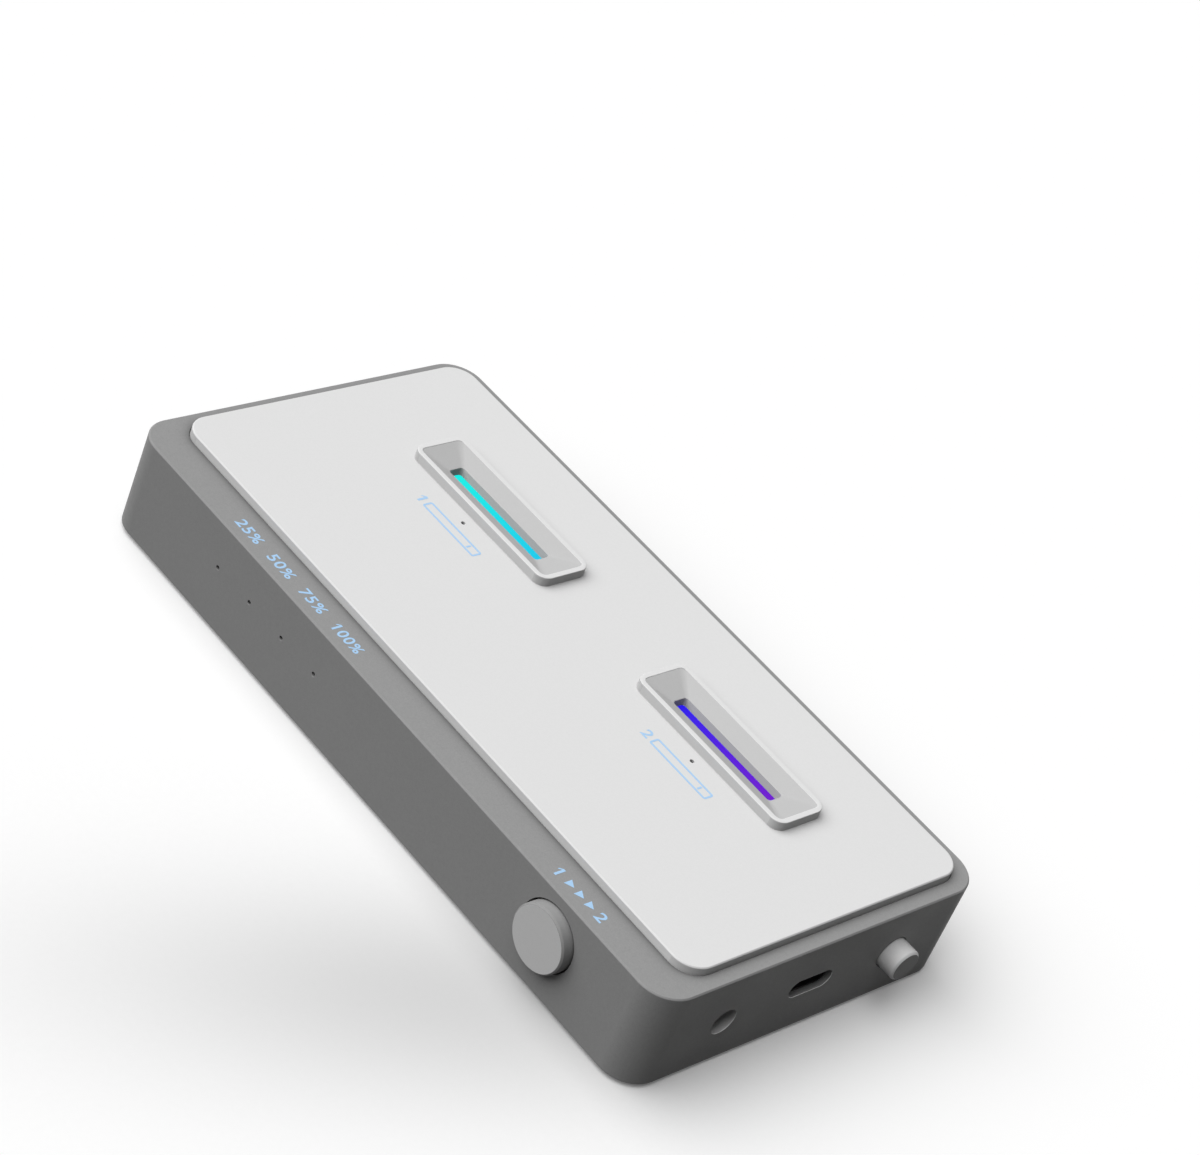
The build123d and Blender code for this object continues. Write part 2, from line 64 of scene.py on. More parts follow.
def paint(red, green, blue):
    return (linear(red), linear(green), linear(blue), 1.0)


def grey(level):
    return paint(level, level, level)


black = grey(0)
plate_low, plate_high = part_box("top_plate")
case_low, case_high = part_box("case_shell")
plate_top = plate_high.z
case_top = case_high.z
print("casing", [round(side / mm, 1) for side in case_high - case_low], "mm")

# %% [markdown]
# ## Shared effects
# Moulded plastic is never one flat colour. The steel mould is spark eroded, so the skin is a
# field of tiny bumps, and fingers leave broad, faint smudges. Both effects turn up in most of
# the finishes here, so each is a node group, built once and placed in every material with its
# own numbers. A group could also be copied by hand into each material, but then one change
# would have to be made a dozen times.
#
# A few small functions come first. Each places one node, feeds its sockets and hands back its
# output, so that a chain of nodes reads like a formula.

# %% Small functions for node trees


def new_group(name, inputs, outputs):
    """An empty node group with number inputs, given with their defaults, and outputs."""
    group = bpy.data.node_groups.new(name, "ShaderNodeTree")
    for label, value in inputs.items():
        socket = group.interface.new_socket(label, in_out="INPUT", socket_type="NodeSocketFloat")
        socket.default_value = value
    for label in outputs:
        group.interface.new_socket(label, in_out="OUTPUT", socket_type="NodeSocketFloat")
    start = group.nodes.new("NodeGroupInput")
    end = group.nodes.new("NodeGroupOutput")
    return group, start, end


def feed(tree, socket, value):
    """Gives an input socket its value: a number, a colour or the output of another node."""
    if isinstance(value, bpy.types.NodeSocket):
        tree.links.new(value, socket)
    else:
        socket.default_value = value


def object_place(tree):
    """The place of a point in its object's own axes, in metres."""
    return tree.nodes.new("ShaderNodeTexCoord").outputs["Object"]


def split_axes(tree, place):
    """The outputs X, Y and Z of a place."""
    node = tree.nodes.new("ShaderNodeSeparateXYZ")
    tree.links.new(place, node.inputs["Vector"])
    return node.outputs


def noise(tree, place, scale, detail=2.0, roughness=0.5):
    """A noise texture read at a place. The scale is a number or an output socket."""
    node = tree.nodes.new("ShaderNodeTexNoise")
    node.inputs["Detail"].default_value = detail
    node.inputs["Roughness"].default_value = roughness
    tree.links.new(place, node.inputs["Vector"])
    feed(tree, node.inputs["Scale"], scale)
    return node.outputs["Fac"]


def spread(tree, value, low, high, to_low=0.0, to_high=1.0):
    """Stretches the values between low and high to a new range, and clamps the rest."""
    node = tree.nodes.new("ShaderNodeMapRange")
    tree.links.new(value, node.inputs["Value"])
    for label, number in (("From Min", low), ("From Max", high),
                          ("To Min", to_low), ("To Max", to_high)):
        feed(tree, node.inputs[label], number)
    return node.outputs["Result"]


def sums(tree, operation, first, second):
    """One step of arithmetic on two numbers or sockets."""
    node = tree.nodes.new("ShaderNodeMath")
    node.operation = operation
    for socket, number in zip(node.inputs, (first, second)):
        feed(tree, socket, number)
    return node.outputs["Value"]


def square_sum(tree, first, second):
    """The square of one number plus the square of another."""
    return sums(tree, "ADD", sums(tree, "MULTIPLY", first, first),
                sums(tree, "MULTIPLY", second, second))


def fading(tree, value):
    """1 where the value is 0, and falling off smoothly where it's more: e to the power -value."""
    return sums(tree, "POWER", math.e, sums(tree, "MULTIPLY", value, -1.0))


# %% The grain of a spark eroded mould
fine_share = 0.7
coarse_share = 0.3
coarse_ratio = 0.35


def make_grain():
    """Two noises of different size, mixed: a mask from 0 to 1, and the height for a bump."""
    group, start, end = new_group("mould_grain", {"Grain Scale": 3000.0}, ("Mask", "Height"))
    place = object_place(group)
    fine = noise(group, place, start.outputs["Grain Scale"], detail=3.0, roughness=0.6)
    coarse_scale = sums(group, "MULTIPLY", start.outputs["Grain Scale"], coarse_ratio)
    coarse = noise(group, place, coarse_scale)
    mixed = sums(group, "ADD", sums(group, "MULTIPLY", fine, fine_share),
                 sums(group, "MULTIPLY", coarse, coarse_share))
    group.links.new(spread(group, mixed, 0.3, 0.7), end.inputs["Mask"])
    group.links.new(mixed, end.inputs["Height"])
    return group


grain_group = make_grain()
print("group", grain_group.name)

# %% The smudges that handling leaves


def make_smudge():
    """One broad noise, stretched to a roughness between the lowest and the highest."""
    group, start, end = new_group("handling", {"Smudge Scale": 60.0, "Lowest": 0.4, "Highest": 0.5},
                                  ("Roughness",))
    broad = noise(group, object_place(group), start.outputs["Smudge Scale"],
                  detail=4.0, roughness=0.55)
    result = spread(group, broad, 0.35, 0.65, start.outputs["Lowest"], start.outputs["Highest"])
    group.links.new(result, end.inputs["Roughness"])
    return group


smudge_group = make_smudge()
print("group", smudge_group.name)

# %% [markdown]
# A third effect belongs to the casing alone, and it is painted shade. Where the plate rises from
# the border, the corner between the two sees less of the sky, so the colour there is darkened.
# The darkening is strongest at the foot of the plate and has faded away after two millimetres.
# It's needed on the left and the front only, because on the other sides the plate's own shadow
# does the same.
#
# The distance from a rectangle with round corners has a short recipe. Take the distance from a
# smaller rectangle, the core, whose corners are the centres of the round ones, and subtract the
# radius. The same numbers tell which side a point lies on.

# %% The painted shade at the foot of the plate
shade_depth = 0.7
shade_reach = 0.75 * mm
plate_corner = 4.5 * mm
border_skin = 0.1 * mm


def core_distance(group, value, low, high):
    """How far a point lies outside the core along one axis, and 1 if that is on the low side."""
    across = sums(group, "SUBTRACT", value, (low + high) / 2)
    beyond = sums(group, "SUBTRACT", sums(group, "ABSOLUTE", across, 0.0),
                  (high - low) / 2 - plate_corner)
    return sums(group, "MAXIMUM", beyond, 0.0), sums(group, "LESS_THAN", across, 0.0)


def make_foot_shade():
    """A mask of painted shade that fades with the distance from the plate, on its left and front
    sides only.
    """
    group, start, end = new_group("foot_shade", {"Reach": shade_reach, "Depth": shade_depth},
                                  ("Mask",))
    axes = split_axes(group, object_place(group))
    out_x, is_left = core_distance(group, axes["X"], plate_low.x, plate_high.x)
    out_y, is_front = core_distance(group, axes["Y"], plate_low.y, plate_high.y)
    from_core = sums(group, "SQRT", square_sum(group, out_x, out_y), 0.0)
    away = sums(group, "MAXIMUM", sums(group, "SUBTRACT", from_core, plate_corner), 0.0)
    fade = fading(group, sums(group, "DIVIDE", away, start.outputs["Reach"]))
    shaded = sums(group, "MAXIMUM", sums(group, "MULTIPLY", out_x, is_left),
                  sums(group, "MULTIPLY", out_y, is_front))
    share = sums(group, "DIVIDE", shaded, from_core)
    on_top = sums(group, "GREATER_THAN", axes["Z"], case_top - border_skin)
    mask = sums(group, "MULTIPLY", sums(group, "MULTIPLY", fade, start.outputs["Depth"]),
                sums(group, "MULTIPLY", share, on_top))
    group.links.new(mask, end.inputs["Mask"])
    return group


foot_shade = make_foot_shade()
print("group", foot_shade.name)

# %% [markdown]
# ## Plastics
# All the plastics follow one recipe: two nearby tones mixed by the grain, a roughness that
# wanders a little, and a bump from the same grain. The dark casing has a coarse grain that the
# eye can see as a fine sparkle. The plate and the slot frames are satin, almost smooth. Glossy
# paint would be quicker to make, but it would mirror the lamp, and the real skin doesn't.
#
# A pale surface throws much light on its neighbours. The bounce number of a plastic says how
# much of its colour such second-hand light gets, so that narrow corners keep their depth.

# %% The recipe for a moulded plastic


def principled(name):
    """A new material with its Principled shader."""
    material = bpy.data.materials.new(name)
    material.use_nodes = True
    return material, material.node_tree, material.node_tree.nodes["Principled BSDF"]


def place_group(tree, group, **values):
    """A node group placed in a tree, with numbers for its inputs."""
    node = tree.nodes.new("ShaderNodeGroup")
    node.node_tree = group
    for label, value in values.items():
        node.inputs[label.replace("_", " ")].default_value = value
    return node


def mix_colours(tree, mask, first, second, blend="MIX"):
    """The first colour, mixed or multiplied with the second where the mask is high."""
    node = tree.nodes.new("ShaderNodeMix")
    node.data_type = "RGBA"
    node.blend_type = blend
    for label, value in (("Factor", mask), ("A", first), ("B", second)):
        feed(tree, node.inputs[label], value)
    return node.outputs["Result"]


def bump(tree, height, depth):
    """Turns a height field from 0 to 1 into a normal, for bumps that deep in metres."""
    node = tree.nodes.new("ShaderNodeBump")
    node.inputs["Strength"].default_value = 1.0
    node.inputs["Distance"].default_value = depth
    tree.links.new(height, node.inputs["Height"])
    return node.outputs["Normal"]


def after_bounce(tree, colour, share):
    """The colour as it is to the eye, but only a share of it to light that goes on from it."""
    path = tree.nodes.new("ShaderNodeLightPath")
    weaker = (share, share, share, 1.0)
    return mix_colours(tree, path.outputs["Is Diffuse Ray"], colour, weaker, "MULTIPLY")


def moulded(name, dark, light, grain, depth, rough, metallic=0.0, specular=0.5, bounce=1.0,
            shade=None):
    """A plastic, rubber or metal skin: two tones, a grain size and a grain depth in metres."""
    material, tree, shader = principled(name)
    skin = place_group(tree, grain_group, Grain_Scale=1 / grain)
    smudge = place_group(tree, smudge_group, Lowest=rough[0], Highest=rough[1])
    colour = mix_colours(tree, skin.outputs["Mask"], dark, light)
    # A shade mask darkens the colour towards black: painted shade.
    if shade:
        colour = mix_colours(tree, place_group(tree, shade).outputs["Mask"], colour, black)
    if bounce < 1.0:
        colour = after_bounce(tree, colour, bounce)
    tree.links.new(colour, shader.inputs["Base Color"])
    tree.links.new(smudge.outputs["Roughness"], shader.inputs["Roughness"])
    tree.links.new(bump(tree, skin.outputs["Height"], depth), shader.inputs["Normal"])
    shader.inputs["Metallic"].default_value = metallic
    shader.inputs["Specular IOR Level"].default_value = specular
    return material


# The casing's colour carries the painted shade at the foot of the plate.
casing_plastic = moulded("casing_plastic", grey(145), grey(155), grain=0.22 * mm,
                         depth=0.010 * mm, rough=(0.5, 0.6), specular=0.1, bounce=0.35,
                         shade=foot_shade)
plate_plastic = moulded("plate_plastic", grey(222), grey(227), grain=0.18 * mm, depth=0.003 * mm,
                        rough=(0.42, 0.5), specular=0.15, bounce=0.18)
bezel_plastic = moulded("bezel_plastic", grey(223), grey(228), grain=0.18 * mm, depth=0.002 * mm,
                        rough=(0.4, 0.47), specular=0.15, bounce=0.18)
# Painted light: a paler copy of the satin plastic for the front faces, which face the lamp.
side_painted_light = moulded("side_painted_light", grey(234), grey(239), grain=0.18 * mm, depth=0.002 * mm,
                       rough=(0.4, 0.47), specular=0.15, bounce=0.18)
funnel_plastic = moulded("funnel_plastic", grey(190), grey(195), grain=0.18 * mm,
                         depth=0.003 * mm, rough=(0.5, 0.6), specular=0.1, bounce=0.18)
# Painted highlight: a paler, glossier plastic for the lit lower lips of the ports.
lip_painted_highlight = moulded("lip_painted_highlight", grey(238), grey(244), grain=0.18 * mm, depth=0.002 * mm,
                      rough=(0.3, 0.4), specular=0.5, bounce=0.3)
# Painted light: a paler plastic for the wall of the power inlet.
inlet_painted_light = moulded("inlet_painted_light", grey(202), grey(208), grain=0.2 * mm, depth=0.003 * mm,
                        rough=(0.5, 0.6), specular=0.1, bounce=0.4)
button_plastic = moulded("button_plastic", grey(208), grey(214), grain=0.2 * mm, depth=0.003 * mm,
                         rough=(0.42, 0.5), specular=0.15)
button_rim_plastic = moulded("button_rim_plastic", grey(150), grey(156), grain=0.2 * mm,
                             depth=0.003 * mm, rough=(0.5, 0.6), specular=0.1, bounce=0.5)
power_plastic = moulded("power_plastic", grey(227), grey(233), grain=0.2 * mm, depth=0.003 * mm,
                        rough=(0.4, 0.48), specular=0.15)
# Painted shade: a darker plastic for the end of the power pin, which faces away from the lamp.
power_end_painted_shade = moulded("power_end_painted_shade", grey(140), grey(146), grain=0.2 * mm,
                            depth=0.003 * mm, rough=(0.5, 0.6), specular=0.1)
print("plastics made:", len(bpy.data.materials))

# %% [markdown]
# ## Black parts, rubber and metals
# Behind the slots and ports sit a black card socket, gold contacts, tinned cans and a steel
# shell. They are small and in shadow, but a close view looks straight at them. Metal gets its
# look from what it reflects, so its colour is set high and its metallic value to one. The steel
# shell of the USB port is the exception: it is made nearly black and less metallic, as painted
# shade, so that the inside of the port looks shaded.

# %% Black parts, rubber and metals
socket_black = moulded("socket_black", grey(24), grey(34), grain=0.15 * mm, depth=0.004 * mm,
                       rough=(0.45, 0.6))
chip_black = moulded("chip_black", grey(30), grey(42), grain=0.12 * mm, depth=0.005 * mm,
                     rough=(0.55, 0.7))
foot_rubber = moulded("foot_rubber", grey(34), grey(46), grain=0.25 * mm, depth=0.012 * mm,
                      rough=(0.75, 0.9), specular=0.25)
plunger_white = moulded("plunger_white", grey(205), grey(214), grain=0.2 * mm, depth=0.003 * mm,
                        rough=(0.4, 0.5))
ferrite = moulded("ferrite", grey(52), grey(66), grain=0.2 * mm, depth=0.01 * mm,
                  rough=(0.6, 0.75))
contact_gold = moulded("contact_gold", paint(214, 170, 88), paint(238, 200, 120), grain=0.1 * mm,
                       depth=0.001 * mm, rough=(0.2, 0.32), metallic=1.0)
steel = moulded("steel", grey(150), grey(176), grain=0.14 * mm, depth=0.002 * mm,
                rough=(0.28, 0.4), metallic=1.0)
# Painted shade: a nearly black steel, so that the USB port's shell looks shaded.
port_steel_painted_shade = moulded("port_steel_painted_shade", grey(26), grey(36), grain=0.14 * mm, depth=0.002 * mm,
                     rough=(0.45, 0.6), metallic=0.6, specular=0.1)
nickel = moulded("pin_nickel", grey(178), grey(200), grain=0.12 * mm, depth=0.001 * mm,
                 rough=(0.16, 0.28), metallic=1.0)
can_metal = moulded("can_metal", grey(168), grey(190), grain=0.3 * mm, depth=0.002 * mm,
                    rough=(0.3, 0.42), metallic=1.0)
led_white = moulded("led_white", paint(214, 210, 186), paint(232, 228, 206), grain=0.15 * mm,
                    depth=0.002 * mm, rough=(0.3, 0.4))
smoked_pipe = moulded("smoked_pipe", grey(8), grey(16), grain=0.3 * mm, depth=0.001 * mm,
                      rough=(0.5, 0.6), specular=0.1)
print("finishes so far:", len(bpy.data.materials))

# %% [markdown]
# ## The circuit board
# A board is green lacquer over copper tracks, and the tracks show as slightly raised, lighter
# green lines. A brick texture with very long bricks gives such parallel lines for nothing, and
# a noise breaks them up, so that no two runs look alike.

# %% The circuit board's lacquer


def make_board_lacquer():
    """Dark green, with lighter and raised lines where the copper tracks run."""
    material, tree, shader = principled("board_lacquer")
    place = object_place(tree)
    tracks = tree.nodes.new("ShaderNodeTexBrick")
    for label, value in (("Vector", place), ("Scale", 120.0), ("Mortar Size", 0.03),
                         ("Brick Width", 1.7), ("Row Height", 0.11)):
        feed(tree, tracks.inputs[label], value)
    broken = spread(tree, noise(tree, place, 90.0), 0.48, 0.56)
    copper = sums(tree, "MULTIPLY", tracks.outputs["Fac"], broken)
    colour = mix_colours(tree, copper, paint(18, 74, 44), paint(44, 112, 64))
    tree.links.new(colour, shader.inputs["Base Color"])
    tree.links.new(bump(tree, copper, 0.03 * mm), shader.inputs["Normal"])
    smudge = place_group(tree, smudge_group, Lowest=0.25, Highest=0.4)
    tree.links.new(smudge.outputs["Roughness"], shader.inputs["Roughness"])
    return material


board_lacquer = make_board_lacquer()

# %% [markdown]
# ## The glowing bars
# Each slot is lit from below by two coloured lamps, one at each end of a clear bar, and the
# colours run into each other along it: green blue to blue in one slot, blue to violet in the
# other. A lamp could be put inside the bar, but clear plastic that glows evenly is much the
# same as a surface that shines by itself, so the bar gets an emission whose colour is read
# from its place along X. The strength stays at one, so the colour shows as it is written.

# %% The glow of the bars
plain_end = 2.5 * mm
cloud_scale = 500.0
cloud_strength = 0.12
glow_bounce = 0.07


def make_glow(name, node, left, right):
    """A surface that shines by itself, from one colour at its left end to another at its right."""
    material, tree, shader = principled(name)
    low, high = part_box(node)
    place = object_place(tree)
    even = spread(tree, split_axes(tree, place)["X"], low.x + plain_end, high.x - plain_end)
    clouds = sums(tree, "SUBTRACT", noise(tree, place, cloud_scale), 0.5)
    along = sums(tree, "ADD", even, sums(tree, "MULTIPLY", clouds, cloud_strength))
    colour = after_bounce(tree, mix_colours(tree, along, left, right), glow_bounce)
    tree.links.new(colour, shader.inputs["Emission Color"])
    shader.inputs["Emission Strength"].default_value = 1.0
    shader.inputs["Base Color"].default_value = (0.01, 0.01, 0.01, 1.0)
    shader.inputs["Specular IOR Level"].default_value = 0.03
    smudge = place_group(tree, smudge_group, Smudge_Scale=400.0, Lowest=0.15, Highest=0.3)
    tree.links.new(smudge.outputs["Roughness"], shader.inputs["Roughness"])
    return material


source_glow = make_glow("source_glow", "source_light_guide",
                        paint(12, 240, 230), paint(8, 200, 236))
target_glow = make_glow("target_glow", "target_light_guide",
                        paint(38, 18, 235), paint(112, 14, 203))
print("glow colours run along X")

# %% [markdown]
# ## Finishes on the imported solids
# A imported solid's mesh stays as it is. Its look changes by putting another material into its
# slots. A table of names keeps that in one place, so that a missed solid is found at once.

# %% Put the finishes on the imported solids
finish_of = {
    casing_plastic: ["case_shell", "bottom_cover"],
    plate_plastic: ["top_plate"],
    bezel_plastic: ["source_slot_bezel", "target_slot_bezel"],
    button_plastic: ["clone_button_cap"],
    power_plastic: ["power_button_cap"],
    source_glow: ["source_light_guide"],
    target_glow: ["target_light_guide"],
    smoked_pipe: ["progress_light_pipes", "slot_light_pipes"],
    led_white: ["progress_leds", "slot_leds", "source_rgb_leds", "target_rgb_leds"],
    board_lacquer: ["main_board"],
    chip_black: ["controller_chip", "bridge_chips", "flash_chip"],
    socket_black: ["source_m2_socket", "target_m2_socket", "usb_c_tongue", "dc_jack_body",
                   "power_switch_body", "clone_switch_body"],
    plunger_white: ["power_switch_plunger", "clone_switch_plunger"],
    contact_gold: ["source_m2_contacts", "target_m2_contacts", "dc_jack_contact"],
    steel: ["case_screws", "power_switch_spring", "clone_switch_dome"],
    # the USB port's shell, in painted shade
    port_steel_painted_shade: ["usb_c_shell"],
    nickel: ["dc_jack_pin"],
    can_metal: ["crystals", "capacitors"],
    ferrite: ["inductors"],
    foot_rubber: ["rubber_feet"],
}
finished = set()
for material, names in finish_of.items():
    for name in names:
        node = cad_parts[name]
        node.data.materials.clear()
        node.data.materials.append(material)
        finished.add(name)
print("without a finish:", sorted(set(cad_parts) - finished))

# %% [markdown]
# ## Softer edges
# No moulded edge is truly sharp: it has a small round, and that round catches the light as a
# thin bright line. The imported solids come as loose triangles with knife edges. A copy of such a
# mesh is merged, its flat parts are joined into single faces, and the edges that still turn
# sharply get a narrow bevel. The Weighted Normal modifier then keeps the big flat faces
# flat in the shading, so only the round itself bends the light.

# %% A copy of a solid with softened edges
merge_distance = 0.002 * mm
sharp_turn = math.radians(25)
crease_turn = math.radians(35)


def add_object(name, data):
    """A new object at the origin, in the scene."""
    thing = bpy.data.objects.new(name, data)
    bpy.context.scene.collection.objects.link(thing)
    return thing


def finish_mesh(bm, name, material, body):
    """Makes a bmesh into an object at the origin that rides on a body."""
    mesh = bpy.data.meshes.new(name)
    bm.to_mesh(mesh)
    bm.free()
    mesh.materials.append(material)
    for face in mesh.polygons:
        face.use_smooth = True
    mesh.set_sharp_from_angle(angle=crease_turn)
    piece = add_object(name, mesh)
    weighted = piece.modifiers.new("even_shading", "WEIGHTED_NORMAL")
    weighted.keep_sharp = True
    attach(piece, body)
    return piece


def merged_copy(node):
    """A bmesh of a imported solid, with its loose triangles merged and its flat parts joined."""
    bm = bmesh.new()
    bm.from_mesh(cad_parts[node].data)
    bmesh.ops.remove_doubles(bm, verts=bm.verts, dist=merge_distance)
    bmesh.ops.dissolve_limit(bm, angle_limit=math.radians(1), verts=bm.verts, edges=bm.edges)
    return bm


def sharp_edges(bm, chosen):
    """The edges that turn sharply and whose both ends pass a test."""
    return [edge for edge in bm.edges
            if edge.calc_face_angle(0) > sharp_turn and all(chosen(vert.co) for vert in edge.verts)]


def round_edges(bm, edges, width, segments):
    """A round bevel along the edges, cut narrower where there is too little room."""
    bmesh.ops.bevel(bm, geom=edges, offset=width, offset_type="OFFSET", segments=segments,
                    profile=0.5, affect="EDGES", clamp_overlap=True, material=-1)


def soften(node, name, width, segments, material, body, visible, lips=None, loop=None):
    """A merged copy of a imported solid, bevelled where its visible edges are sharp."""
    bm = merged_copy(node)
    if loop:
        every = list(bm.verts) + list(bm.edges) + list(bm.faces)
        bmesh.ops.bisect_plane(bm, geom=every, dist=merge_distance / 2,
                               plane_co=loop, plane_no=(0, 1, 0))
    if lips:
        wide = sharp_edges(bm, lips)
        round_edges(bm, wide, lip_width, 4)
        print(name, "edges of openings rounded:", len(wide))
    edges = sharp_edges(bm, visible)
    round_edges(bm, edges, width, segments)
    piece = finish_mesh(bm, name, material, body)
    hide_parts(node)
    print(name, "edges softened:", len(edges), "faces:", len(piece.data.polygons))
    return piece


def second_finish(piece, material, chosen):
    """Gives the faces that pass a test another material."""
    piece.data.materials.append(material)
    place = len(piece.data.materials) - 1
    for face in piece.data.polygons:
        if chosen(face):
            face.material_index = place


# %% [markdown]
# ## Casing and plate
# The casing is one tray shaped shell, open below, with holes for the ports, buttons and
# lights. Only its outside shows, so only edges near the outside are softened. The test for
# that is a small function that says whether a point lies on the outer skin. The two ports get
# a wider round, and where it looks upwards or forwards it is painted paler and glossier: a
# painted highlight for the lamp's light on it. The wall of the power inlet is painted paler
# too, as painted light. The front side of the plate, turned towards the lamp, is painted paler
# as well: painted light on its lit side.

# %% Soften the casing and the plate
casing_round = 0.06 * mm
plate_round = 0.07 * mm
skin_depth = 0.4 * mm
plate_skin = 0.6 * mm
lip_width = 0.28 * mm
inlet_radius = 2.6 * mm
inlet_rim_radius = 3.0 * mm
port_rim_half_width = 5.2 * mm
port_rim_half_height = 2.3 * mm
end_skin = 0.01 * mm
lip_reach = 1.2 * lip_width
towards_end = 0.97
light_from_above = 0.8
light_from_front = 0.6
least_light = 0.12
along_the_bore = 0.1
straight_on = 0.999


def middle_of(node):
    """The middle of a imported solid's box."""
    low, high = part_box(node)
    return (low + high) / 2


inlet_middle = middle_of("dc_jack_pin")
port_middle = middle_of("usb_c_shell")


def on_casing_skin(point):
    sides = (point.x - case_low.x, case_high.x - point.x, point.y - case_low.y,
             case_high.y - point.y, point.z - case_low.z, case_high.z - point.z)
    return min(sides) < skin_depth


def on_plate_skin(point):
    return point.z > plate_top - plate_skin


def from_inlet_axis(point):
    return math.hypot(point.y - inlet_middle.y, point.z - inlet_middle.z)


def near_ports(point):
    """True within the power inlet or the USB port, or on the rim of either."""
    port = (abs(point.y - port_middle.y) < port_rim_half_width
            and abs(point.z - port_middle.z) < port_rim_half_height)
    return port or from_inlet_axis(point) < inlet_rim_radius


def on_port_lip(point):
    return point.x > case_high.x - end_skin and near_ports(point)


def in_lower_lip(face):
    """The part of a port's rounded rim that looks up or forward and so catches the light; it gets a
    painted highlight.
    """
    on_rim = face.center.x > case_high.x - lip_reach and face.normal.x < towards_end
    light = light_from_above * face.normal.z - light_from_front * face.normal.y
    return on_rim and near_ports(face.center) and light > least_light


def in_inlet_wall(face):
    inside = from_inlet_axis(face.center) < inlet_radius
    return inside and abs(face.normal.x) < along_the_bore


def looks_to_the_front(face):
    return face.normal.y < -straight_on


casing = soften("case_shell", "casing", casing_round, 2, casing_plastic,
                "casing", on_casing_skin, on_port_lip)
# Painted highlight on the ports' lower lips.
second_finish(casing, lip_painted_highlight, in_lower_lip)
# Painted light on the wall of the power inlet.
second_finish(casing, inlet_painted_light, in_inlet_wall)
plate = soften("top_plate", "plate", plate_round, 3, plate_plastic,
               "casing", on_plate_skin)
# Painted light on the plate's front side.
second_finish(plate, side_painted_light, looks_to_the_front)

# %% [markdown]
# ## The slot frames
# A slot frame is a moulding whose cross-section runs round a rounded rectangle: up the outside,
# over a rounded rim, down the funnel, through the throat and back along the underside. It could
# be carved out of a block with cutters, but a thin rim is cleaner when it is drawn as a path.
# A rectangular face gets its corners rounded by a vertex bevel, and its edge becomes the
# first ring. The ring is then extruded again and again, and each time its four corners are
# moved and resized to the next ring of the path. The last ring falls on the first, and
# merging the two closes the body.

# %% A body made of rings, one extruded from the other
corner_steps = 7


def flat_box(bm, x, y, length, width, level=0.0):
    """The verts of a flat rectangular face with its middle at a place."""
    made = bmesh.ops.create_grid(bm, x_segments=1, y_segments=1, size=0.5)["verts"]
    bmesh.ops.scale(bm, vec=(length, width, 1), verts=made)
    bmesh.ops.translate(bm, vec=(x, y, level), verts=made)
    return made


def round_corners(bm, verts, radius, segments):
    """Rounds the corners of a flat face and gives back the verts of the new outline."""
    return bmesh.ops.bevel(bm, geom=verts, offset=radius, offset_type="OFFSET", segments=segments,
                           profile=0.5, affect="VERTICES", material=-1)["verts"]


def first_ring(bm, centre, length, width, corner, level):
    """The edges of a rounded rectangle, made from a flat face with its corners bevelled."""
    made = flat_box(bm, centre.x, centre.y, length, width, level)
    round_corners(bm, made, corner, corner_steps)
    bmesh.ops.delete(bm, geom=list(bm.faces), context="FACES_ONLY")
    return list(bm.edges)


def move_corner(bm, verts, centre, side, old, new):
    """Takes the verts of one rounded corner from their place in the old ring to the new one."""
    corner = [vert for vert in verts
              if (vert.co.x - centre.x) * side[0] > 0 and (vert.co.y - centre.y) * side[1] > 0]
    middles = []
    for length, width, radius, level in (old, new):
        middles.append(Vector((centre.x + side[0] * (length / 2 - radius),
                               centre.y + side[1] * (width / 2 - radius), level)))
    size = new[2] / old[2]
    bmesh.ops.scale(bm, vec=(size, size, 1), space=Matrix.Translation(-middles[0]), verts=corner)
    bmesh.ops.translate(bm, vec=middles[1] - middles[0], verts=corner)


def ring_body(rings, centre):
    """Extrudes the first ring from each ring of the path to the next, and back to the first."""
    bm = bmesh.new()
    edges = first_ring(bm, centre, *rings[0])
    for old, new in zip(rings, rings[1:] + rings[:1]):
        made = bmesh.ops.extrude_edge_only(bm, edges=edges)["geom"]
        verts = {item for item in made if isinstance(item, bmesh.types.BMVert)}
        edges = [item for item in made
                 if isinstance(item, bmesh.types.BMEdge) and set(item.verts) <= verts]
        for side in ((-1, -1), (-1, 1), (1, -1), (1, 1)):
            move_corner(bm, verts, centre, side, old, new)
    bmesh.ops.remove_doubles(bm, verts=bm.verts, dist=merge_distance / 2)
    bmesh.ops.recalc_face_normals(bm, faces=bm.faces)
    return bm


# %% The rings of a slot frame
rim = 1.0 * mm
rim_round = 0.12 * mm
mouth_round = 0.08 * mm
corner_outer = 2.2 * mm
corner_mouth = 1.1 * mm
corner_well = 0.6 * mm
well_length = 24.3 * mm
well_width = 3.15 * mm
funnel_level = plate_top + 0.27 * mm
funnel_foot = 0.3 * mm
foot_round = 0.06 * mm
well_level = plate_top - 1.3 * mm
pocket_length = 29.6 * mm
pocket_width = 5.8 * mm
neck_length = 32.0 * mm
neck_width = 8.2 * mm
hidden_corner = 0.2 * mm
front_skin = 0.3 * mm


def rounded_rim(length, width, corner, top, radius, inwards):
    """Rings that turn a square edge into a quarter round, on the outside or at the mouth."""
    steps = (0, 30, 60, 90) if inwards else (90, 60, 30, 0)
    rings = []
    for angle in steps:
        out = radius * math.cos(math.radians(angle))
        down = radius * (1 - math.sin(math.radians(angle)))
        grow = out if inwards else -out
        shift = 2 * (grow - radius) if inwards else 2 * (grow + radius)
        rings.append((length + shift, width + shift, corner + shift / 2, top - down))
    return rings


